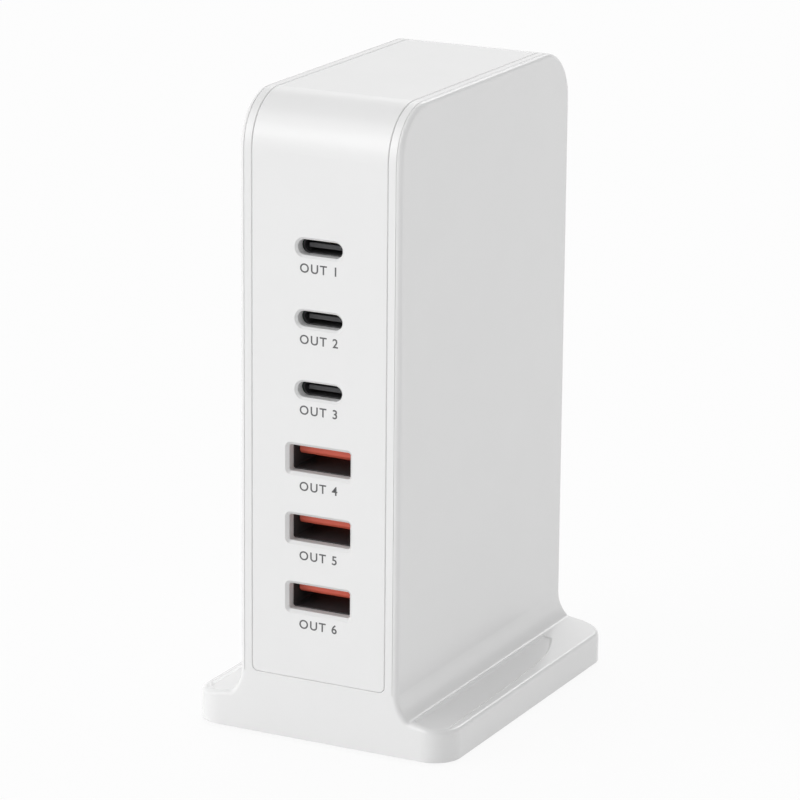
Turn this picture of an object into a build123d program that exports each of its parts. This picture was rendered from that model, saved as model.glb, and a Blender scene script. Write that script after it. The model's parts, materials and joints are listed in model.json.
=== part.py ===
import os
from math import cos, radians, sin, tan

from build123d import *

os.makedirs("parts", exist_ok=True)

# A slim desktop charger with a flared foot. Millimetres, front faces -Y, it stands on Z = 0.

# Case
body_width = 33.0
body_depth = 71.0
body_height = 121.5
side_wall = 2.6
edge_radius = 1.0
edge_line_width = 0.14
edge_line_depth = 0.12
top_radius = 10.0

# Flared foot
foot_width = 54.0
foot_corner_radius = 5.5
foot_wall = 2.2
foot_edge_height = 5.85
foot_slope_deg = 8.5
blend_radius = 6.2
blend_sweep_deg = 50.0
crease_radius = 1.3
foot_hollow_height = 3.4

# Shallow recess along the top of each flange
recess_rim = 1.65
recess_inner_margin = 0.5
recess_depth = 0.25
recess_side_deg = 60.0
recess_rear_gap = 13.6
recess_taper = 0.75
recess_taper_length = 51.0
recess_bend_length = 13.5
recess_bend_width = 3.2
recess_corner = 0.6

# Wrap-around cover that closes front, top and rear
cover_thickness = 2.2
sill_height = 12.0
seam_gap = 0.05
seam_chamfer = 0.14
cover_corner_radius = 1.2
ledge_gap = 0.1
ledge_width = 1.2
ledge_height = 1.5

# Ports, a single column of three small and three large sockets
port_pitch = 13.35
port_column_drop = 0.6
small_port_count = 3
large_port_count = 3
small_cutout_width = 9.2
small_cutout_height = 2.95
small_cutout_lip = 0.45
large_cutout_width = 12.7
large_cutout_height = 5.05
large_cutout_corner = 0.5
large_cutout_lip = 0.6
connector_gap = 0.15
connector_length = 12.5
shell_wall = 0.3
insert_gap = 0.05
connector_base = 4.0

small_shell_width = 8.94
small_shell_height = 3.16
small_tongue_width = 6.7
small_tongue_thickness = 0.8
small_tongue_setback = 0.3
small_contact_count = 12
small_contact_pitch = 0.5
small_contact_width = 0.25
small_contact_thickness = 0.08
small_contact_length = 4.0
small_contact_setback = 1.6

large_shell_width = 13.1
large_shell_height = 5.3
large_shell_corner = 0.6
large_tongue_width = 11.6
large_tongue_thickness = 1.85
large_tongue_raise = 0.975
large_tongue_setback = 1.3
large_tongue_bevel = 0.55
large_contact_offsets = (-3.5, -1.0, 1.0, 3.5)
large_contact_width = 1.1
large_contact_thickness = 0.2
large_contact_length = 4.0
large_contact_setback = 2.4

# Circuit boards
board_thickness = 1.6
port_board_width = 24.0
port_board_margin = 13.0
port_screw_inset_x = 3.0
port_screw_inset_z = 3.4
port_post_diameter = 4.6
board_gap = 2.9
main_board_standoff = 3.5
main_board_rear_gap = 2.3
main_board_top_gap = 8.5
main_screw_inset = 4.0
standoff_diameter = 5.0
input_board_top = 15.0
input_board_side_gap = 1.7
input_post_diameter = 5.0
input_post_inset = 3.5

# Screws
screw_diameter = 2.2
screw_head_diameter = 4.4
screw_head_height = 1.4
screw_bite = 2.6
screw_tip_gap = 0.4
screw_clearance = 0.05
screw_hole_gap = 0.15
screw_slot_width = 0.7
screw_slot_length = 2.6
screw_slot_depth = 0.6

# Bottom plate and rubber feet
plate_thickness = 2.0
plate_gap = 0.2
plate_screw_boss = 6.0
plate_screw_inset = 3.8
plate_screw_spacing = 30.0
plate_counterbore_gap = 0.3
plate_head_recess = 0.1
rubber_foot_diameter = 8.0
rubber_foot_proud = 0.6
rubber_foot_seat = 0.8
rubber_foot_gap = 0.15
rubber_foot_inset = 6.0
rubber_foot_edge = 0.3

# Mains inlet, two round pins in a figure-of-eight socket
inlet_width = 19.0
inlet_height = 11.5
inlet_depth = 15.0
inlet_inset = 0.3
inlet_gap = 0.15
inlet_corner = 1.5
inlet_flange = 1.2
inlet_flange_thickness = 1.5
inlet_socket_diameter = 8.4
inlet_socket_waist = 6.4
inlet_socket_depth = 12.0
inlet_pin_spacing = 8.6
inlet_pin_diameter = 2.4
inlet_pin_inset = 2.0
inlet_pin_gap = 0.05
inlet_pin_tip = 0.6
inlet_pin_tail = 3.0
inlet_clear = 1.2

# Power components
part_gap = 1.5
close_gap = 0.5
fuse_diameter = 5.0
fuse_height = 8.0
x_capacitor_width = 6.0
x_capacitor_height = 11.0
part_edge = 0.5
choke_outer_diameter = 11.0
choke_inner_diameter = 6.0
choke_height = 5.0
choke_wire = 1.2
choke_wire_gap = 0.1
choke_wire_arc = 130.0
bulk_capacitor_diameter = 12.0
bulk_capacitor_top_gap = 1.0
bridge_size = 10.0
bridge_height = 4.0
transistor_size = 10.0
transistor_height = 2.5
sink_length = 14.0
sink_base = 2.0
sink_fin_height = 8.0
sink_fin_thickness = 1.2
sink_fin_count = 5
y_capacitor_length = 7.0
y_capacitor_width = 5.0
y_capacitor_height = 8.0
optocoupler_length = 4.6
optocoupler_width = 6.5
optocoupler_height = 3.5
controller_length = 5.0
controller_width = 6.0
controller_height = 1.6
transformer_length = 24.0
transformer_core_width = 14.0
transformer_width = 22.0
transformer_yoke = 4.0
transformer_leg = 6.0
transformer_window = 5.5
winding_gap = 0.2
output_capacitor_count = 3
output_capacitor_diameter = 8.0
output_capacitor_height = 14.0
link_width = 6.0
link_height = 7.0
link_overlap = 5.0
port_inductor_size = 7.0
port_inductor_height = 3.5
port_inductor_offset = 5.0
port_controller_size = 5.0
port_controller_height = 0.9
port_controller_offset = 3.0
spreader_thickness = 1.0
spreader_margin = 2.0
thermal_pad_thickness = 1.2
thermal_pad_margin = 2.0
insulation_thickness = 0.4
insulation_margin = 0.3
insulation_hole_gap = 0.3

# Levels and faces that several pieces share
base_z = rubber_foot_proud
top_z = base_z + body_height
sill_z = base_z + sill_height
front_y = -body_depth / 2
rear_y = body_depth / 2
inner_front_y = front_y + cover_thickness
inner_rear_y = rear_y - cover_thickness
inner_top_z = top_z - cover_thickness
slot_half = body_width / 2 - side_wall
cover_half = slot_half - seam_gap
plate_top_z = base_z + plate_thickness
beyond = 2 * edge_radius
tolerance = 0.01

port_count = small_port_count + large_port_count
port_column_z = (sill_z + top_z - top_radius) / 2 - port_column_drop
port_z = [port_column_z + port_pitch * ((port_count - 1) / 2 - i) for i in range(port_count)]
small_port_z = port_z[:small_port_count]
large_port_z = port_z[small_port_count:]
connector_y = inner_front_y + connector_gap
port_board_y = connector_y + connector_length
port_board_rear_y = port_board_y + board_thickness
port_board_height = port_pitch * (port_count - 1) + 2 * port_board_margin
port_screw_x = port_board_width / 2 - port_screw_inset_x
port_screw_z = port_board_height / 2 - port_screw_inset_z

input_top_z = base_z + input_board_top
input_bottom_z = input_top_z - board_thickness
main_front_y = port_board_rear_y + board_gap
main_rear_y = inner_rear_y - main_board_rear_gap
main_top_z = inner_top_z - main_board_top_gap
main_back_x = main_board_standoff - slot_half
main_face_x = main_back_x + board_thickness

inlet_face_y = rear_y - inlet_inset
inlet_front_y = inlet_face_y - inlet_depth
inlet_z = input_top_z + inlet_height / 2
inlet_top_z = input_top_z + inlet_height + inlet_flange
notch_y = inlet_front_y - inlet_clear - inlet_pin_tail
notch_z = inlet_top_z + inlet_clear

spreader_x = slot_half - spreader_thickness
part_room = spreader_x - main_face_x
transformer_height = part_room - thermal_pad_thickness
bulk_capacitor_height = part_room - bulk_capacitor_top_gap


def front_plane(y, z, x=0.0):
    """A plane facing the front, local x along +X and local y along +Z."""
    return Plane(origin=(x, y, z), x_dir=(1, 0, 0), z_dir=(0, -1, 0))


def rear_plane(y, z, x=0.0):
    """A plane facing the rear, local x along -X and local y along +Z."""
    return Plane(origin=(x, y, z), x_dir=(-1, 0, 0), z_dir=(0, 1, 0))


def main_plane(x, y, z):
    """A plane facing +X, local x along +Y and local y along +Z."""
    return Plane(origin=(x, y, z), x_dir=(0, 1, 0), z_dir=(1, 0, 0))


def finish(part, node):
    """Label a finished piece and write it to its own file."""
    part.label = node
    export_step(part, f"parts/{node}.step")


def screw(plane, grip):
    """A pan-head screw seated on a plane, with its shank going through grip and biting beyond it."""
    with BuildSketch(plane) as head:
        Circle(screw_head_diameter / 2)
    extrude(head.sketch, amount=screw_head_height)
    with BuildSketch(plane) as shank:
        Circle(screw_diameter / 2)
    extrude(shank.sketch, amount=-(grip + screw_bite))
    with BuildSketch(plane.offset(screw_head_height)) as cross:
        Rectangle(screw_slot_length, screw_slot_width)
        Rectangle(screw_slot_width, screw_slot_length)
    extrude(cross.sketch, amount=-screw_slot_depth, mode=Mode.SUBTRACT)


def case_outline(inset, bottom_z, mode=Mode.ADD):
    """The side view of the case, front to rear, drawn on a YZ plane and set in from the outside."""
    half = body_depth / 2 - inset
    high = top_z - inset
    corners = [(-half, bottom_z), (-half, high), (half, high), (half, bottom_z)]
    with BuildLine() as outline:
        FilletPolyline(*corners, radius=top_radius - inset)
        Line(corners[-1], corners[0])
    make_face(outline.edges(), mode=mode)


# Front view of the case: straight walls that sweep out into a sloping foot
slope_angle = radians(foot_slope_deg)
sweep_angle = radians(blend_sweep_deg)
blend_end_x = body_width / 2 + blend_radius * (1 - cos(sweep_angle))
blend_end_z = base_z + foot_edge_height + (foot_width / 2 - blend_end_x) * tan(slope_angle)
blend_start_z = blend_end_z + blend_radius * sin(sweep_angle)
blend_middle = (
    body_width / 2 + blend_radius * (1 - cos(sweep_angle / 2)),
    blend_start_z - blend_radius * sin(sweep_angle / 2),
)

# Recess outline, measured on the sloping flange from its outer edge
flange_plane = Plane(
    origin=(foot_width / 2, 0, base_z + foot_edge_height),
    x_dir=(cos(slope_angle), 0, -sin(slope_angle)),
    z_dir=(sin(slope_angle), 0, cos(slope_angle)),
)
recess_inner_u = (blend_end_x - foot_width / 2) / cos(slope_angle) + recess_inner_margin + recess_corner
recess_outer_u = -recess_rim - recess_corner
recess_rear_v = rear_y - recess_rear_gap - recess_corner
recess_bend_u = recess_outer_u - recess_taper

# The outline is drawn smaller by its corner radius and then grown to the recess floor, which rounds every
# corner, and the sides slope outwards from there
with BuildPart() as recess_tool:
    with BuildSketch(flange_plane.offset(-recess_depth)):
        with BuildLine():
            Polyline(
                (recess_bend_u - recess_bend_width, recess_rear_v),
                (-foot_width, recess_rear_v),
                (-foot_width, recess_rear_v - 2 * body_depth),
                (recess_outer_u, recess_rear_v - 2 * body_depth),
                (recess_outer_u, recess_rear_v - recess_taper_length),
            )
            taper = TangentArc(
                (recess_outer_u, recess_rear_v - recess_taper_length),
                (recess_bend_u, recess_rear_v - recess_bend_length),
                tangent=(0, 1),
            )
            TangentArc(
                (recess_bend_u, recess_rear_v - recess_bend_length),
                (recess_bend_u - recess_bend_width, recess_rear_v),
                tangent=taper % 1,
            )
        make_face()
        with Locations((-foot_width / 2, 0)):
            RectangleRounded(
                foot_width + 2 * recess_outer_u,
                body_depth + 2 * recess_outer_u,
                foot_corner_radius + recess_outer_u,
                mode=Mode.INTERSECT,
            )
        with Locations((recess_inner_u, 0)):
            Rectangle(foot_width, 2 * body_depth, align=(Align.MIN, Align.CENTER), mode=Mode.INTERSECT)
        offset(amount=recess_corner - recess_depth * tan(radians(recess_side_deg)))
    extrude(amount=recess_depth + tolerance, taper=-recess_side_deg)
    mirror(about=Plane.YZ)

# Fastening points that two or more pieces share
plate_screw_x = foot_width / 2 - foot_wall - plate_screw_inset
plate_seat_z = base_z + screw_head_height + plate_head_recess
plate_grip = plate_top_z - plate_seat_z
lower_tab_z = (input_top_z + notch_z) / 2
standoff_points = [
    (main_front_y + main_screw_inset, lower_tab_z),
    (main_rear_y - main_screw_inset, notch_z + main_screw_inset),
    (main_front_y + main_screw_inset, main_top_z - main_screw_inset),
    (main_rear_y - main_screw_inset, main_top_z - main_screw_inset),
]
input_post_left_x = main_face_x + screw_head_diameter / 2 + close_gap
input_post_right_x = slot_half - input_board_side_gap - input_post_inset
input_post_points = [
    (x, y)
    for x in (input_post_left_x, input_post_right_x)
    for y in (main_front_y + input_post_inset, notch_y - input_post_inset)
]
pilot_radius = screw_diameter / 2 + screw_clearance
pilot_depth = screw_bite + screw_tip_gap
through_radius = screw_diameter / 2 + screw_hole_gap

# Housing: side walls, flared foot and the sills below the cover, one moulding
with BuildPart() as housing:
    with BuildSketch(Plane.XZ) as profile:
        with BuildLine():
            Polyline((0, top_z), (body_width / 2, top_z), (body_width / 2, blend_start_z))
            ThreePointArc((body_width / 2, blend_start_z), blend_middle, (blend_end_x, blend_end_z))
            Polyline(
                (blend_end_x, blend_end_z),
                (foot_width / 2, base_z + foot_edge_height),
                (foot_width / 2, base_z),
                (0, base_z),
                (0, top_z),
            )
        make_face()
        crease = profile.vertices().sort_by_distance((blend_end_x, blend_end_z))[0]
        fillet(crease, radius=crease_radius)
        mirror(about=Plane.YZ)
    extrude(amount=body_depth / 2, both=True)

    # Rounded foot corners, and the large radius from front to top and from top to rear
    foot_corners = housing.edges().filter_by(Axis.Z).filter_by(lambda e: abs(e.center().X) > blend_end_x)
    fillet(foot_corners, radius=foot_corner_radius)
    fillet(housing.edges().filter_by(Axis.X).group_by(Axis.Z)[-1], radius=top_radius)

    # One soft edge runs round each side: up the front, over the top, down the rear and round the flange
    wall_rim = housing.edges().filter_by(
        lambda e: abs(abs(e.center().X) - body_width / 2) < tolerance
        and e.center().Z > blend_start_z + tolerance
    )
    flange_rim = housing.edges().filter_by(
        lambda e: abs(e.center().X) > body_width / 2 + tolerance
        and e.center().Z > base_z + foot_edge_height - tolerance
        and not (abs(e.center().Y) < tolerance and abs(e.center().X) < foot_width / 2 - tolerance)
    )
    fillet(wall_rim + flange_rim, radius=edge_radius)
    add(recess_tool.part, mode=Mode.SUBTRACT)

    # Slot for the cover, open at front, top and rear, with its half of the seam groove
    with BuildSketch(Plane.XZ):
        with Locations((0, (sill_z + top_z + beyond) / 2)):
            slot = Rectangle(2 * slot_half, top_z + beyond - sill_z)
        fillet(slot.vertices().group_by(Axis.Y)[0], radius=cover_corner_radius + seam_gap)
    extrude(amount=body_depth, both=True, mode=Mode.SUBTRACT)
    seam_edges = housing.edges().filter_by(
        lambda e: abs(e.center().X) < slot_half + tolerance
        and e.center().Z > sill_z - tolerance
        and not (abs(e.center().Y) < tolerance and e.center().Z < top_z - tolerance)
    )
    chamfer(seam_edges, length=seam_chamfer)

    # A fine line beside each soft edge, up the front, over the top and down the rear
    for side in (-1, 1):
        with BuildSketch(Plane.YZ.offset(side * (body_width / 2 - edge_radius))):
            case_outline(-beyond, blend_start_z)
            case_outline(edge_line_depth, blend_start_z, mode=Mode.SUBTRACT)
        extrude(amount=edge_line_width / 2, both=True, mode=Mode.SUBTRACT)

    # Hollow inside, open at the bottom
    with BuildSketch(Plane.XY.offset(base_z)):
        Rectangle(2 * slot_half, body_depth - 2 * cover_thickness)
    extrude(amount=sill_height + cover_corner_radius + seam_gap, mode=Mode.SUBTRACT)
    with BuildSketch(Plane.XY.offset(base_z)):
        RectangleRounded(
            foot_width - 2 * foot_wall, body_depth - 2 * foot_wall, foot_corner_radius - foot_wall
        )
    extrude(amount=foot_hollow_height, mode=Mode.SUBTRACT)

    # Ledges that carry the cover, bosses for the bottom screws and stand-offs for the main board
    for side in (-1, 1):
        with BuildSketch(Plane.YZ.offset(side * slot_half)):
            case_outline(cover_thickness + ledge_gap, sill_z)
            case_outline(cover_thickness + ledge_gap + ledge_height, sill_z, mode=Mode.SUBTRACT)
        extrude(amount=-side * ledge_width)
    with BuildSketch(Plane.XY.offset(plate_top_z)):
        with GridLocations(2 * plate_screw_x, plate_screw_spacing, 2, 2):
            Circle(plate_screw_boss / 2)
    extrude(amount=foot_hollow_height - plate_thickness)
    with BuildSketch(Plane.XY.offset(plate_top_z)):
        with GridLocations(2 * plate_screw_x, plate_screw_spacing, 2, 2):
            Circle(pilot_radius)
    extrude(amount=pilot_depth, mode=Mode.SUBTRACT)
    with BuildSketch(Plane.YZ.offset(-slot_half)):
        with Locations(*standoff_points):
            Circle(standoff_diameter / 2)
    extrude(amount=main_board_standoff)
    with BuildSketch(Plane.YZ.offset(main_back_x)):
        with Locations(*standoff_points):
            Circle(pilot_radius)
    extrude(amount=-pilot_depth, mode=Mode.SUBTRACT)

finish(housing.part, "housing")

# Wrap cover: front panel, top and rear panel in one strip, flush between the side walls
with BuildPart() as wrap_cover:
    with BuildSketch(Plane.YZ):
        case_outline(0, sill_z + seam_gap)
    extrude(amount=cover_half, both=True)
    lower_corners = wrap_cover.edges().filter_by(Axis.Y).group_by(Axis.Z)[0]
    fillet(lower_corners, radius=cover_corner_radius)
    cover_rim = wrap_cover.edges().filter_by(
        lambda e: abs(e.center().X) > tolerance or e.center().Z < sill_z + cover_corner_radius
    )
    cover_rim = cover_rim.filter_by(
        lambda e: abs(e.center().Y) > tolerance or e.center().Z > top_z - tolerance
    )
    chamfer(cover_rim, length=seam_chamfer)
    with BuildSketch(Plane.YZ):
        case_outline(cover_thickness, sill_z - beyond)
    extrude(amount=body_width, both=True, mode=Mode.SUBTRACT)

    # Socket cut-outs with a bevelled lip, and the opening for the mains inlet
    for z in small_port_z:
        with BuildSketch(front_plane(front_y, z)):
            SlotOverall(small_cutout_width, small_cutout_height)
        extrude(amount=-cover_thickness, mode=Mode.SUBTRACT)
    for z in large_port_z:
        with BuildSketch(front_plane(front_y, z)):
            RectangleRounded(large_cutout_width, large_cutout_height, large_cutout_corner)
        extrude(amount=-cover_thickness, mode=Mode.SUBTRACT)
    for heights, lip in ((small_port_z, small_cutout_lip), (large_port_z, large_cutout_lip)):
        lip_edges = wrap_cover.edges().filter_by(
            lambda e: abs(e.center().Y - front_y) < tolerance
            and min(abs(e.center().Z - z) for z in heights) < port_pitch / 3
            and abs(e.center().X) < cover_half - 2 * seam_chamfer
        )
        chamfer(lip_edges, length=lip)
    with BuildSketch(rear_plane(rear_y, inlet_z)):
        RectangleRounded(
            inlet_width + 2 * inlet_gap, inlet_height + 2 * inlet_gap, inlet_corner + inlet_gap
        )
    extrude(amount=-cover_thickness, mode=Mode.SUBTRACT)

    # Posts behind the front panel carry the port board
    with BuildSketch(front_plane(port_board_y, port_column_z)):
        with GridLocations(2 * port_screw_x, 2 * port_screw_z, 2, 2):
            Circle(port_post_diameter / 2)
    extrude(amount=port_board_y - inner_front_y)
    with BuildSketch(front_plane(port_board_y, port_column_z)):
        with GridLocations(2 * port_screw_x, 2 * port_screw_z, 2, 2):
            Circle(pilot_radius)
    extrude(amount=pilot_depth, mode=Mode.SUBTRACT)

finish(wrap_cover.part, "wrap_cover")

# Bottom plate with posts for the input board, and seats for screws and feet
rubber_foot_x = foot_width / 2 - foot_wall - plate_gap - rubber_foot_inset
rubber_foot_y = body_depth / 2 - foot_wall - plate_gap - rubber_foot_inset

with BuildPart() as bottom_plate:
    with BuildSketch(Plane.XY.offset(base_z)):
        RectangleRounded(
            foot_width - 2 * (foot_wall + plate_gap),
            body_depth - 2 * (foot_wall + plate_gap),
            foot_corner_radius - foot_wall - plate_gap,
        )
    extrude(amount=plate_thickness)
    with BuildSketch(Plane.XY.offset(plate_top_z)):
        with Locations(*input_post_points):
            Circle(input_post_diameter / 2)
    extrude(amount=input_bottom_z - plate_top_z)
    with BuildSketch(Plane.XY.offset(input_bottom_z)):
        with Locations(*input_post_points):
            Circle(pilot_radius)
    extrude(amount=-pilot_depth, mode=Mode.SUBTRACT)
    with BuildSketch(Plane.XY.offset(base_z)):
        with GridLocations(2 * plate_screw_x, plate_screw_spacing, 2, 2):
            Circle(screw_head_diameter / 2 + plate_counterbore_gap)
    extrude(amount=plate_seat_z - base_z, mode=Mode.SUBTRACT)
    with BuildSketch(Plane.XY.offset(base_z)):
        with GridLocations(2 * plate_screw_x, plate_screw_spacing, 2, 2):
            Circle(through_radius)
    extrude(amount=plate_thickness, mode=Mode.SUBTRACT)
    with BuildSketch(Plane.XY.offset(base_z)):
        with GridLocations(2 * rubber_foot_x, 2 * rubber_foot_y, 2, 2):
            Circle(rubber_foot_diameter / 2 + rubber_foot_gap)
    extrude(amount=rubber_foot_seat, mode=Mode.SUBTRACT)

finish(bottom_plate.part, "bottom_plate")

with BuildPart() as bottom_screws:
    for x in (-plate_screw_x, plate_screw_x):
        for y in (-plate_screw_spacing / 2, plate_screw_spacing / 2):
            screw(Plane(origin=(x, y, plate_seat_z), x_dir=(1, 0, 0), z_dir=(0, 0, -1)), plate_grip)

finish(bottom_screws.part, "bottom_screws")

foot_places = [(side * rubber_foot_x, end * rubber_foot_y) for end in (-1, 1) for side in (-1, 1)]
for i, (x, y) in enumerate(foot_places, start=1):
    with BuildPart() as rubber_foot:
        with BuildSketch():
            with Locations((x, y)):
                Circle(rubber_foot_diameter / 2)
        extrude(amount=rubber_foot_proud + rubber_foot_seat)
        fillet(rubber_foot.edges().group_by(Axis.Z)[0], radius=rubber_foot_edge)
    finish(rubber_foot.part, f"rubber_foot_{i}")

# Small sockets: a stadium shell, and an insert with a thin tongue in the middle
small_base_y = port_board_y - connector_base
small_tongue_y = connector_y + small_tongue_setback
small_bore_width = small_shell_width - 2 * shell_wall
small_bore_height = small_shell_height - 2 * shell_wall

for i, z in enumerate(small_port_z, start=1):
    with BuildPart() as usb_c_shell:
        with BuildSketch(front_plane(connector_y, z)):
            SlotOverall(small_shell_width, small_shell_height)
            SlotOverall(small_bore_width, small_bore_height, mode=Mode.SUBTRACT)
        extrude(amount=-connector_length)
    finish(usb_c_shell.part, f"usb_c_shell_{i}")

    with BuildPart() as usb_c_insert:
        with BuildSketch(front_plane(small_base_y, z)):
            SlotOverall(small_bore_width - 2 * insert_gap, small_bore_height - 2 * insert_gap)
        extrude(amount=-connector_base)
        with BuildSketch(front_plane(small_base_y, z)):
            Rectangle(small_tongue_width, small_tongue_thickness)
        extrude(amount=small_base_y - small_tongue_y)
    finish(usb_c_insert.part, f"usb_c_insert_{i}")

with BuildPart() as usb_c_contacts:
    for z in small_port_z:
        for face in (-1, 1):
            lift = face * (small_tongue_thickness + small_contact_thickness) / 2
            with BuildSketch(front_plane(small_tongue_y + small_contact_setback, z + lift)):
                with GridLocations(small_contact_pitch, 0, small_contact_count, 1):
                    Rectangle(small_contact_width, small_contact_thickness)
            extrude(amount=-small_contact_length)

finish(usb_c_contacts.part, "usb_c_contacts")

# Large sockets: a square shell, and a coloured insert with its tongue above the middle
large_base_y = port_board_y - connector_base
large_tongue_y = connector_y + large_tongue_setback
large_bore_width = large_shell_width - 2 * shell_wall
large_bore_height = large_shell_height - 2 * shell_wall

for i, z in enumerate(large_port_z, start=1):
    with BuildPart() as usb_a_shell:
        with BuildSketch(front_plane(connector_y, z)):
            RectangleRounded(large_shell_width, large_shell_height, large_shell_corner)
            RectangleRounded(
                large_bore_width, large_bore_height, large_shell_corner - shell_wall, mode=Mode.SUBTRACT
            )
        extrude(amount=-connector_length)
    finish(usb_a_shell.part, f"usb_a_shell_{i}")

    with BuildPart() as usb_a_insert:
        with BuildSketch(front_plane(large_base_y, z)):
            RectangleRounded(
                large_bore_width - 2 * insert_gap,
                large_bore_height - 2 * insert_gap,
                large_shell_corner - shell_wall,
            )
        extrude(amount=-connector_base)
        with BuildSketch(front_plane(large_base_y, z + large_tongue_raise)):
            Rectangle(large_tongue_width, large_tongue_thickness)
        extrude(amount=large_base_y - large_tongue_y)
        tongue_tip = usb_a_insert.edges().filter_by(Axis.X).group_by(Axis.Y)[0]
        chamfer(tongue_tip.sort_by(Axis.Z)[0], length=large_tongue_bevel)
    finish(usb_a_insert.part, f"usb_a_insert_{i}")

with BuildPart() as usb_a_contacts:
    for z in large_port_z:
        drop = large_tongue_raise - (large_tongue_thickness + large_contact_thickness) / 2
        with BuildSketch(front_plane(large_tongue_y + large_contact_setback, z + drop)):
            with Locations(*[(x, 0) for x in large_contact_offsets]):
                Rectangle(large_contact_width, large_contact_thickness)
        extrude(amount=-large_contact_length)

finish(usb_a_contacts.part, "usb_a_contacts")

# Port board behind the connectors, screwed to the cover's posts, with a converter for each port
with BuildPart() as port_board:
    with BuildSketch(front_plane(port_board_y, port_column_z)):
        Rectangle(port_board_width, port_board_height)
        with GridLocations(2 * port_screw_x, 2 * port_screw_z, 2, 2):
            Circle(through_radius, mode=Mode.SUBTRACT)
    extrude(amount=-board_thickness)

finish(port_board.part, "port_board")

with BuildPart() as port_board_screws:
    for x in (-port_screw_x, port_screw_x):
        for z in (port_column_z - port_screw_z, port_column_z + port_screw_z):
            screw(rear_plane(port_board_rear_y, z, x), board_thickness)

finish(port_board_screws.part, "port_board_screws")

for i, z in enumerate(small_port_z, start=1):
    with BuildPart() as port_inductor:
        with BuildSketch(rear_plane(port_board_rear_y, z, port_inductor_offset)):
            RectangleRounded(port_inductor_size, port_inductor_size, part_edge)
        extrude(amount=port_inductor_height)
        chamfer(port_inductor.faces().sort_by(Axis.Y)[-1].edges(), length=part_edge)
    finish(port_inductor.part, f"port_inductor_{i}")

for i, z in enumerate(large_port_z, start=1):
    with BuildPart() as port_controller:
        with BuildSketch(rear_plane(port_board_rear_y, z, -port_controller_offset)):
            Rectangle(port_controller_size, port_controller_size)
        extrude(amount=port_controller_height)
    finish(port_controller.part, f"port_controller_{i}")

# Input board at the bottom, on the plate's posts
input_middle_y = (main_front_y + main_rear_y) / 2

with BuildPart() as input_board:
    with BuildSketch(Plane.XY.offset(input_bottom_z)):
        with Locations((0, input_middle_y)):
            Rectangle(2 * (slot_half - input_board_side_gap), main_rear_y - main_front_y)
        with Locations(*input_post_points):
            Circle(through_radius, mode=Mode.SUBTRACT)
    extrude(amount=board_thickness)

finish(input_board.part, "input_board")

with BuildPart() as input_board_screws:
    for x, y in input_post_points:
        screw(Plane(origin=(x, y, input_top_z)), board_thickness)

finish(input_board_screws.part, "input_board_screws")

# Mains inlet: its flange sits behind the rear panel, its socket opens to the rear
with BuildPart() as inlet_body:
    with BuildSketch(rear_plane(inlet_face_y, inlet_z)):
        RectangleRounded(inlet_width, inlet_height, inlet_corner)
    extrude(amount=-inlet_depth)
    with BuildSketch(rear_plane(inner_rear_y, inlet_z + inlet_flange / 2)):
        Rectangle(inlet_width + 2 * inlet_flange, inlet_height + inlet_flange)
    extrude(amount=-inlet_flange_thickness)
    with BuildSketch(rear_plane(inlet_face_y, inlet_z)):
        with GridLocations(inlet_pin_spacing, 0, 2, 1):
            Circle(inlet_socket_diameter / 2)
        Rectangle(inlet_pin_spacing, inlet_socket_waist)
    extrude(amount=-inlet_socket_depth, mode=Mode.SUBTRACT)
    with BuildSketch(rear_plane(inlet_face_y, inlet_z)):
        with GridLocations(inlet_pin_spacing, 0, 2, 1):
            Circle(inlet_pin_diameter / 2 + inlet_pin_gap)
    extrude(amount=-inlet_depth, mode=Mode.SUBTRACT)

finish(inlet_body.part, "inlet_body")

with BuildPart() as inlet_pins:
    with BuildSketch(rear_plane(inlet_face_y - inlet_pin_inset, inlet_z)):
        with GridLocations(inlet_pin_spacing, 0, 2, 1):
            Circle(inlet_pin_diameter / 2)
    extrude(amount=-(inlet_depth - inlet_pin_inset + inlet_pin_tail))
    fillet(inlet_pins.edges().group_by(Axis.Y)[-1], radius=inlet_pin_tip)

finish(inlet_pins.part, "inlet_pins")

# Fuse, choke and filter capacitor stand in line on the input board
input_row_x = (input_post_left_x + input_post_right_x) / 2
fuse_y = main_front_y + input_post_inset
choke_reach = choke_outer_diameter / 2 + choke_wire_gap + choke_wire
choke_y = fuse_y + fuse_diameter / 2 + close_gap + choke_reach
choke_z = input_top_z + choke_wire + choke_wire_gap
x_capacitor_start_y = choke_y + choke_reach + close_gap
x_capacitor_end_y = inlet_front_y - inlet_pin_tail - close_gap

with BuildPart() as fuse:
    with BuildSketch(Plane.XY.offset(input_top_z)):
        with Locations((input_row_x, fuse_y)):
            Circle(fuse_diameter / 2)
    extrude(amount=fuse_height)
    fillet(fuse.edges().group_by(Axis.Z)[-1], radius=part_edge)

finish(fuse.part, "fuse")

with BuildPart() as x_capacitor:
    with BuildSketch(Plane.XY.offset(input_top_z)):
        with Locations((input_row_x, (x_capacitor_start_y + x_capacitor_end_y) / 2)):
            Rectangle(x_capacitor_width, x_capacitor_end_y - x_capacitor_start_y)
    extrude(amount=x_capacitor_height)
    fillet(x_capacitor.faces().sort_by(Axis.Z)[-1].edges(), radius=part_edge)

finish(x_capacitor.part, "x_capacitor")

choke_plane = Plane(origin=(input_row_x, choke_y, choke_z))
with BuildPart() as choke_core:
    with BuildSketch(choke_plane):
        Circle(choke_outer_diameter / 2)
        Circle(choke_inner_diameter / 2, mode=Mode.SUBTRACT)
    extrude(amount=choke_height)

finish(choke_core.part, "choke_core")

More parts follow.
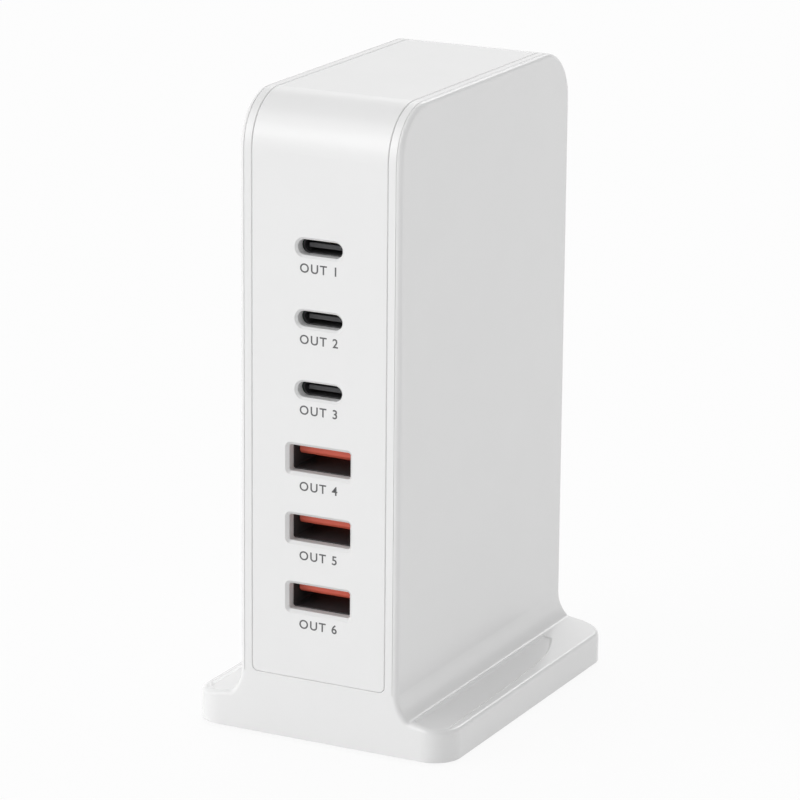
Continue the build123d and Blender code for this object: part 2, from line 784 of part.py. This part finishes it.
# Two coils wound round the ring from opposite sides
ring_width = (choke_outer_diameter - choke_inner_diameter) / 2
ring_middle = (choke_outer_diameter + choke_inner_diameter) / 4
with BuildPart() as choke_windings:
    for turn in (0, 180):
        coil_plane = Plane(
            origin=choke_plane.origin,
            x_dir=(cos(radians(turn - choke_wire_arc / 2)), sin(radians(turn - choke_wire_arc / 2)), 0),
            z_dir=(sin(radians(turn - choke_wire_arc / 2)), -cos(radians(turn - choke_wire_arc / 2)), 0),
        )
        with BuildSketch(coil_plane):
            with Locations((ring_middle, choke_height / 2)):
                inside = (ring_width + 2 * choke_wire_gap, choke_height + 2 * choke_wire_gap)
                Rectangle(inside[0] + 2 * choke_wire, inside[1] + 2 * choke_wire)
                Rectangle(*inside, mode=Mode.SUBTRACT)
        revolve(axis=Axis(choke_plane.origin, (0, 0, 1)), revolution_arc=choke_wire_arc)

finish(choke_windings.part, "choke_windings")

# Main board on edge beside the left wall, notched clear of the inlet
with BuildPart() as main_board:
    with BuildSketch(Plane.YZ.offset(main_back_x)):
        with BuildLine():
            Polyline(
                (main_front_y, input_top_z),
                (notch_y, input_top_z),
                (notch_y, notch_z),
                (main_rear_y, notch_z),
                (main_rear_y, main_top_z),
                (main_front_y, main_top_z),
                close=True,
            )
        make_face()
        with Locations(*standoff_points):
            Circle(through_radius, mode=Mode.SUBTRACT)
    extrude(amount=board_thickness)

finish(main_board.part, "main_board")

with BuildPart() as main_board_screws:
    for y, z in standoff_points:
        screw(main_plane(main_face_x, y, z), board_thickness)

finish(main_board_screws.part, "main_board_screws")

with BuildPart() as insulation_sheet:
    with BuildSketch(Plane.YZ.offset(-slot_half)):
        with Locations((input_middle_y, (notch_z + main_top_z) / 2)):
            Rectangle(
                main_rear_y - main_front_y - 2 * insulation_margin,
                main_top_z - notch_z - 2 * insulation_margin,
            )
        with Locations(*standoff_points):
            Circle(standoff_diameter / 2 + insulation_hole_gap, mode=Mode.SUBTRACT)
    extrude(amount=insulation_thickness)

finish(insulation_sheet.part, "insulation_sheet")

# Rows of components on the main board, from the inlet upwards, spread evenly below the top screws
row_start_y = main_front_y + part_gap
switch_row = max(bridge_size, transistor_size, y_capacitor_width)
output_row = max(output_capacitor_diameter, link_height)
rows_room = main_top_z - 2 * main_screw_inset - notch_z
row_gap = (rows_room - bulk_capacitor_diameter - switch_row - transformer_width - output_row) / 5
row_a_z = notch_z + row_gap + bulk_capacitor_diameter / 2
row_b_z = row_a_z + bulk_capacitor_diameter / 2 + row_gap + switch_row / 2
row_c_z = row_b_z + switch_row / 2 + row_gap + transformer_width / 2
row_d_z = row_c_z + transformer_width / 2 + row_gap + output_row / 2

for i in (1, 2):
    y = row_start_y + bulk_capacitor_diameter / 2 + (i - 1) * (bulk_capacitor_diameter + part_gap)
    with BuildPart() as bulk_capacitor:
        with BuildSketch(main_plane(main_face_x, y, row_a_z)):
            Circle(bulk_capacitor_diameter / 2)
        extrude(amount=bulk_capacitor_height)
        fillet(bulk_capacitor.edges().group_by(Axis.X)[-1], radius=part_edge)
    finish(bulk_capacitor.part, f"bulk_capacitor_{i}")

with BuildPart() as bridge_rectifier:
    with BuildSketch(main_plane(main_face_x, row_start_y + bridge_size / 2, row_b_z)):
        RectangleRounded(bridge_size, bridge_size, part_edge)
    extrude(amount=bridge_height)

finish(bridge_rectifier.part, "bridge_rectifier")

# Each switching stage is a flat transistor with a finned heat sink on it, the second one on end
primary_y = row_start_y + bridge_size + part_gap + sink_length / 2
transformer_y = row_start_y + transformer_length / 2
secondary_y = transformer_y + transformer_length / 2 + part_gap + transistor_size / 2
fin_pitch = (sink_length - sink_fin_thickness) / (sink_fin_count - 1)
stages = (("primary", primary_y, row_b_z, (0, 1, 0)), ("secondary", secondary_y, row_c_z, (0, 0, 1)))
for stage, y, z, along in stages:
    stage_plane = Plane(origin=(main_face_x, y, z), x_dir=along, z_dir=(1, 0, 0))
    with BuildPart() as transistor:
        with BuildSketch(stage_plane):
            Rectangle(transistor_size, transistor_size)
        extrude(amount=transistor_height)
    finish(transistor.part, f"{stage}_transistor")

    with BuildPart() as heat_sink:
        with BuildSketch(stage_plane.offset(transistor_height)):
            Rectangle(sink_length, transistor_size)
        extrude(amount=sink_base)
        with BuildSketch(stage_plane.offset(transistor_height + sink_base)):
            with GridLocations(fin_pitch, 0, sink_fin_count, 1):
                Rectangle(sink_fin_thickness, transistor_size)
        extrude(amount=sink_fin_height)
    finish(heat_sink.part, f"{stage}_heat_sink")

y_capacitor_y = primary_y + sink_length / 2 + part_gap + y_capacitor_length / 2
with BuildPart() as y_capacitor:
    with BuildSketch(main_plane(main_face_x, y_capacitor_y, row_b_z)):
        RectangleRounded(y_capacitor_length, y_capacitor_width, part_edge)
    extrude(amount=y_capacitor_height)
    fillet(y_capacitor.faces().sort_by(Axis.X)[-1].edges(), radius=part_edge / 2)

finish(y_capacitor.part, "y_capacitor")

# The controller and its optocoupler follow the bulk capacitors
controller_y = row_start_y + 2 * (bulk_capacitor_diameter + part_gap) + controller_length / 2
with BuildPart() as controller:
    with BuildSketch(main_plane(main_face_x, controller_y, row_a_z)):
        Rectangle(controller_length, controller_width)
    extrude(amount=controller_height)

finish(controller.part, "controller")

optocoupler_y = controller_y + controller_length / 2 + part_gap + optocoupler_length / 2
with BuildPart() as optocoupler:
    with BuildSketch(main_plane(main_face_x, optocoupler_y, row_a_z)):
        Rectangle(optocoupler_length, optocoupler_width)
    extrude(amount=optocoupler_height)

finish(optocoupler.part, "optocoupler")

# Transformer: a core with two windows, and a taped coil round its middle leg
window_height = transformer_height - 2 * transformer_yoke
window_middle = transformer_leg / 2 + transformer_window / 2
with BuildPart() as transformer_core:
    with BuildSketch(main_plane(main_face_x, transformer_y, row_c_z)):
        Rectangle(transformer_length, transformer_core_width)
    extrude(amount=transformer_height)
    with BuildSketch(main_plane(main_face_x + transformer_yoke, transformer_y, row_c_z)):
        with GridLocations(2 * window_middle, 0, 2, 1):
            Rectangle(transformer_window, transformer_core_width)
    extrude(amount=window_height, mode=Mode.SUBTRACT)

finish(transformer_core.part, "transformer_core")

with BuildPart() as transformer_winding:
    with BuildSketch(main_plane(main_face_x + transformer_yoke + winding_gap, transformer_y, row_c_z)):
        Rectangle(transformer_leg + 2 * (transformer_window - winding_gap), transformer_width)
        Rectangle(
            transformer_leg + 2 * winding_gap, transformer_core_width + 2 * winding_gap, mode=Mode.SUBTRACT
        )
    extrude(amount=window_height - 2 * winding_gap)
    fillet(transformer_winding.edges().filter_by(Axis.X).group_by(Axis.Z)[0], radius=part_edge)
    fillet(transformer_winding.edges().filter_by(Axis.X).group_by(Axis.Z)[-1], radius=part_edge)

finish(transformer_winding.part, "transformer_winding")

# Output side: the plug that joins the port board to the main board, then the output capacitors
with BuildPart() as board_link:
    with BuildSketch(Plane.YZ.offset(main_face_x)):
        with Locations((port_board_rear_y, row_d_z)):
            Rectangle(board_gap + link_overlap, link_height, align=(Align.MIN, Align.CENTER))
    extrude(amount=link_width)

finish(board_link.part, "board_link")

for i in range(1, output_capacitor_count + 1):
    y = main_front_y + link_overlap + (i - 0.5) * output_capacitor_diameter + i * part_gap
    with BuildPart() as output_capacitor:
        with BuildSketch(main_plane(main_face_x, y, row_d_z)):
            Circle(output_capacitor_diameter / 2)
        extrude(amount=output_capacitor_height)
        fillet(output_capacitor.edges().group_by(Axis.X)[-1], radius=part_edge)
    finish(output_capacitor.part, f"output_capacitor_{i}")

# Heat spreader on the right wall, and the soft pad that couples the transformer to it
with BuildPart() as heat_spreader:
    with BuildSketch(Plane.YZ.offset(spreader_x)):
        with Locations((input_middle_y, (notch_z + main_top_z) / 2)):
            Rectangle(
                main_rear_y - main_front_y - 2 * spreader_margin,
                main_top_z - notch_z - 2 * spreader_margin,
            )
    extrude(amount=spreader_thickness)

finish(heat_spreader.part, "heat_spreader")

with BuildPart() as thermal_pad:
    with BuildSketch(main_plane(main_face_x + transformer_height, transformer_y, row_c_z)):
        Rectangle(
            transformer_length - 2 * thermal_pad_margin, transformer_core_width - 2 * thermal_pad_margin
        )
    extrude(amount=thermal_pad_thickness)

finish(thermal_pad.part, "thermal_pad")
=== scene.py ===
import json
import math

import bpy
from mathutils import Matrix, Vector


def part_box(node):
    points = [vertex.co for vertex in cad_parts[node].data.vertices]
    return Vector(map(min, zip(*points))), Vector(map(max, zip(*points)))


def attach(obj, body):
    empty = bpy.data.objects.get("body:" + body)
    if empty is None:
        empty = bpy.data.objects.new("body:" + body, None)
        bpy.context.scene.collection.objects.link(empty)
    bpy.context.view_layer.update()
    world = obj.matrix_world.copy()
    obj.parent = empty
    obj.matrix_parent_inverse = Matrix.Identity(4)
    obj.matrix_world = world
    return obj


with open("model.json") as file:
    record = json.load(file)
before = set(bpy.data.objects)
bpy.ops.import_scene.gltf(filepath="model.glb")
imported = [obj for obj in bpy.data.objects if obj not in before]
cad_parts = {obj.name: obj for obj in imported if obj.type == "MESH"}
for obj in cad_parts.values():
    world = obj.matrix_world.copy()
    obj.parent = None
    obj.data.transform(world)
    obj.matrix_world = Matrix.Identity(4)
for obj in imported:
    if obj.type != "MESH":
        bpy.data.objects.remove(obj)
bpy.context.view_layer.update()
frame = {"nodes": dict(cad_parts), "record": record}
nodes = frame["nodes"]
scene = bpy.context.scene


# Materials

sheen_spread = 0.07
grain_scale = 2600.0
grain_depth = 0.00002


def plastic(name, color, roughness, metallic=0.0, spread=0.03, scale=300.0, bump=0.0, specular=0.5):
    """A shader whose colour and sheen vary a little with a fine noise, with an optional moulded grain."""
    mat = bpy.data.materials.new(name)
    mat.use_nodes = True
    tree = mat.node_tree
    shader = tree.nodes["Principled BSDF"]
    shader.inputs["Metallic"].default_value = metallic
    shader.inputs["Specular IOR Level"].default_value = specular
    place = tree.nodes.new("ShaderNodeTexCoord")
    noise = tree.nodes.new("ShaderNodeTexNoise")
    noise.inputs["Scale"].default_value = scale
    noise.inputs["Detail"].default_value = 3.0
    tree.links.new(place.outputs["Object"], noise.inputs["Vector"])
    tint = tree.nodes.new("ShaderNodeValToRGB")
    tint.color_ramp.elements[0].position = 0.3
    tint.color_ramp.elements[1].position = 0.7
    tint.color_ramp.elements[0].color = [c * (1 - spread) for c in color] + [1]
    tint.color_ramp.elements[1].color = [min(c * (1 + spread), 1) for c in color] + [1]
    tree.links.new(noise.outputs["Fac"], tint.inputs["Fac"])
    tree.links.new(tint.outputs["Color"], shader.inputs["Base Color"])
    sheen = tree.nodes.new("ShaderNodeMapRange")
    sheen.inputs["To Min"].default_value = roughness * (1 - sheen_spread)
    sheen.inputs["To Max"].default_value = min(roughness * (1 + sheen_spread), 1)
    tree.links.new(noise.outputs["Fac"], sheen.inputs["Value"])
    tree.links.new(sheen.outputs["Result"], shader.inputs["Roughness"])
    if bump:
        grain = tree.nodes.new("ShaderNodeTexNoise")
        grain.inputs["Scale"].default_value = grain_scale
        grain.inputs["Detail"].default_value = 2.0
        tree.links.new(place.outputs["Object"], grain.inputs["Vector"])
        relief = tree.nodes.new("ShaderNodeBump")
        relief.inputs["Strength"].default_value = bump
        relief.inputs["Distance"].default_value = grain_depth
        tree.links.new(grain.outputs["Fac"], relief.inputs["Height"])
        tree.links.new(relief.outputs["Normal"], shader.inputs["Normal"])
    return mat


white = (0.80, 0.80, 0.80)
looks = {
    "case_white": plastic("case_white", white, 0.22, spread=0.006, scale=60.0, bump=0.05, specular=0.7),
    "foot_rubber": plastic("foot_rubber", (0.05, 0.05, 0.052), 0.8, bump=0.2),
    "screw_steel": plastic("screw_steel", (0.55, 0.55, 0.56), 0.35, metallic=1.0),
    "socket_metal": plastic("socket_metal", (0.045, 0.045, 0.047), 0.5),
    "insert_black": plastic("insert_black", (0.055, 0.055, 0.058), 0.55),
    "insert_orange": plastic("insert_orange", (0.68, 0.12, 0.075), 0.5),
    "contact_gold": plastic("contact_gold", (0.80, 0.56, 0.22), 0.3, metallic=1.0),
    "pin_metal": plastic("pin_metal", (0.62, 0.61, 0.58), 0.22, metallic=1.0),
    "inlet_black": plastic("inlet_black", (0.02, 0.02, 0.021), 0.5, bump=0.1),
    "board_green": plastic("board_green", (0.02, 0.16, 0.06), 0.45, spread=0.12),
    "chip_black": plastic("chip_black", (0.02, 0.02, 0.022), 0.55),
    "ferrite_grey": plastic("ferrite_grey", (0.06, 0.06, 0.065), 0.6, spread=0.1),
    "copper": plastic("copper", (0.70, 0.29, 0.12), 0.35, metallic=1.0, spread=0.1),
    "tape_yellow": plastic("tape_yellow", (0.78, 0.55, 0.06), 0.4),
    "ceramic_blue": plastic("ceramic_blue", (0.03, 0.16, 0.45), 0.3),
    "sleeve_dark": plastic("sleeve_dark", (0.03, 0.035, 0.06), 0.25),
    "heat_aluminium": plastic("heat_aluminium", (0.72, 0.72, 0.74), 0.4, metallic=1.0),
    "pad_grey": plastic("pad_grey", (0.38, 0.40, 0.43), 0.85),
    "sheet_clear": plastic("sheet_clear", (0.68, 0.68, 0.58), 0.3),
}
for part in frame["record"]["subparts"]:
    node = nodes[part["node"]]
    node.data.materials.clear()
    node.data.materials.append(looks[part["material_slot"]])

# Labels printed below the sockets

label_size = 0.0024
label_spacing = 1.2
label_boldness = 0.00003
label_thickness = 0.00001
label_drop = {"usb_c": 0.0039, "usb_a": 0.0051}
label_grey = plastic("label_grey", (0.11, 0.11, 0.113), 0.5, spread=0.05)
front_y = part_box("wrap_cover")[0].y
sockets = [f"{kind}_shell_{i}" for kind in label_drop for i in (1, 2, 3)]
for i, socket in enumerate(sockets, start=1):
    low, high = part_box(socket)
    words = bpy.data.curves.new(f"label_{i}", "FONT")
    words.body = f"OUT {i}"
    words.align_x = "CENTER"
    words.align_y = "CENTER"
    words.size = label_size
    words.space_character = label_spacing
    words.extrude = label_thickness
    words.offset = label_boldness
    label = bpy.data.objects.new(f"label_{i}", words)
    label.data.materials.append(label_grey)
    label.location = (0, front_y - label_thickness, (low.z + high.z) / 2 - label_drop[socket[:5]])
    label.rotation_euler = (math.radians(90), 0, 0)
    scene.collection.objects.link(label)
    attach(label, "root")

# Floor: white, with a light shadow

floor_half = 8.0
floor_grey = 0.80
floor_glow = 0.92


def shows_background(tree):
    """One for the rays that show the background itself: from the camera, off a gloss and through glass."""
    ray = tree.nodes.new("ShaderNodeLightPath")
    shown = ray.outputs["Is Camera Ray"]
    for kind in ("Is Glossy Ray", "Is Transmission Ray"):
        either = tree.nodes.new("ShaderNodeMath")
        either.operation = "MAXIMUM"
        tree.links.new(shown, either.inputs[0])
        tree.links.new(ray.outputs[kind], either.inputs[1])
        shown = either.outputs["Value"]
    return shown


floor_mat = bpy.data.materials.new("floor")
floor_mat.use_nodes = True
tree = floor_mat.node_tree
floor_shader = tree.nodes["Principled BSDF"]
floor_shader.inputs["Base Color"].default_value = (floor_grey, floor_grey, floor_grey, 1)
floor_shader.inputs["Roughness"].default_value = 0.9
floor_shader.inputs["Specular IOR Level"].default_value = 0.0
glow = tree.nodes.new("ShaderNodeEmission")
share = tree.nodes.new("ShaderNodeMapRange")
share.inputs["To Max"].default_value = floor_glow
blend = tree.nodes.new("ShaderNodeMixShader")
tree.links.new(shows_background(tree), share.inputs["Value"])
tree.links.new(share.outputs["Result"], blend.inputs["Fac"])
tree.links.new(floor_shader.outputs["BSDF"], blend.inputs[1])
tree.links.new(glow.outputs["Emission"], blend.inputs[2])
tree.links.new(blend.outputs["Shader"], tree.nodes["Material Output"].inputs["Surface"])
floor_mesh = bpy.data.meshes.new("floor")
floor_corners = [(floor_half * x, floor_half * y, 0) for x, y in ((-1, -1), (1, -1), (1, 1), (-1, 1))]
floor_mesh.from_pydata(floor_corners, [], [(0, 1, 2, 3)])
floor = bpy.data.objects.new("floor", floor_mesh)
floor.data.materials.append(floor_mat)
scene.collection.objects.link(floor)

# Light: an even studio, with a white backdrop that darkens towards the ceiling and soft panels to reflect

even_grey = 0.63
backdrop_top = 0.1
ceiling_start = 0.3
ceiling_level = 0.3
panel_core = 0.36
lamp_spread_deg = 50
# Azimuth and height of each panel's middle and its radius in degrees, and its strength
panels = (
    (-12, 28, 22, 0.84),
    (-35, 28, 22, 0.57),
    (0, 34, 10, 3.0),
    (-160, 28, 22, 2.34),
    (-150, 52, 22, 1.39),
)


def direction(azimuth, height):
    """A unit vector at so many degrees to the right of straight behind the part, and above the floor."""
    turn, rise = math.radians(azimuth), math.radians(height)
    return Vector((math.sin(turn) * math.cos(rise), math.cos(turn) * math.cos(rise), math.sin(rise)))


world = bpy.data.worlds.new("studio")
scene.world = world
world.use_nodes = True
tree = world.node_tree
even = tree.nodes["Background"]
even.inputs["Color"].default_value = (even_grey, even_grey, even_grey, 1)
room = tree.nodes.new("ShaderNodeBackground")
room.inputs["Color"].default_value = (1, 1, 1, 1)
place = tree.nodes.new("ShaderNodeTexCoord")
axes = tree.nodes.new("ShaderNodeSeparateXYZ")
tree.links.new(place.outputs["Generated"], axes.inputs["Vector"])
backdrop = tree.nodes.new("ShaderNodeMapRange")
backdrop.interpolation_type = "SMOOTHSTEP"
backdrop.inputs["From Min"].default_value = backdrop_top
backdrop.inputs["From Max"].default_value = ceiling_start
backdrop.inputs["To Min"].default_value = 1.0
backdrop.inputs["To Max"].default_value = ceiling_level
tree.links.new(axes.outputs["Z"], backdrop.inputs["Value"])
level = backdrop.outputs["Result"]
for azimuth, height, radius, strength in panels:
    facing = tree.nodes.new("ShaderNodeVectorMath")
    facing.operation = "DOT_PRODUCT"
    facing.inputs[1].default_value = direction(azimuth, height)
    panel = tree.nodes.new("ShaderNodeMapRange")
    panel.interpolation_type = "SMOOTHSTEP"
    panel.inputs["From Min"].default_value = math.cos(math.radians(radius))
    panel.inputs["From Max"].default_value = math.cos(math.radians(panel_core * radius))
    panel.inputs["To Max"].default_value = strength
    total = tree.nodes.new("ShaderNodeMath")
    tree.links.new(place.outputs["Generated"], facing.inputs[0])
    tree.links.new(facing.outputs["Value"], panel.inputs["Value"])
    tree.links.new(level, total.inputs[0])
    tree.links.new(panel.outputs["Result"], total.inputs[1])
    level = total.outputs["Value"]
tree.links.new(level, room.inputs["Strength"])
choice = tree.nodes.new("ShaderNodeMixShader")
tree.links.new(shows_background(tree), choice.inputs["Fac"])
tree.links.new(even.outputs["Background"], choice.inputs[1])
tree.links.new(room.outputs["Background"], choice.inputs[2])
tree.links.new(choice.outputs["Shader"], tree.nodes["World Output"].inputs["Surface"])


def soft_light(name, towards, strength):
    """A broad, even light that shines from a direction."""
    lamp = bpy.data.lights.new(name, "SUN")
    lamp.energy = strength
    lamp.angle = math.radians(lamp_spread_deg)
    obj = bpy.data.objects.new(name, lamp)
    obj.rotation_euler = towards.to_track_quat("Z", "Y").to_euler()
    obj.visible_glossy = False
    scene.collection.objects.link(obj)


soft_light("key", direction(-135, 10), 2.04)
soft_light("back", direction(-30, 50), 0.66)
soft_light("rim", direction(60, 10), 0.46)

# Camera, placed as for the photograph

camera_data = bpy.data.cameras.new("camera")
camera_data.sensor_width = 36.0
camera_data.lens = 185.97
camera_data.clip_start = 0.01
camera = bpy.data.objects.new("camera", camera_data)
right = Vector((0.890109, 0.455674, 0.008235))
up = Vector((-0.130472, 0.237466, 0.962594))
back = Vector((0.436673, -0.857888, 0.270824))
camera_place = Vector((0.341697, -0.674139, 0.270816))
camera_turn = Matrix((right, up, back)).transposed().to_4x4()
camera.matrix_world = Matrix.Translation(camera_place) @ camera_turn
scene.collection.objects.link(camera)
scene.camera = camera
scene.view_settings.view_transform = "Standard"
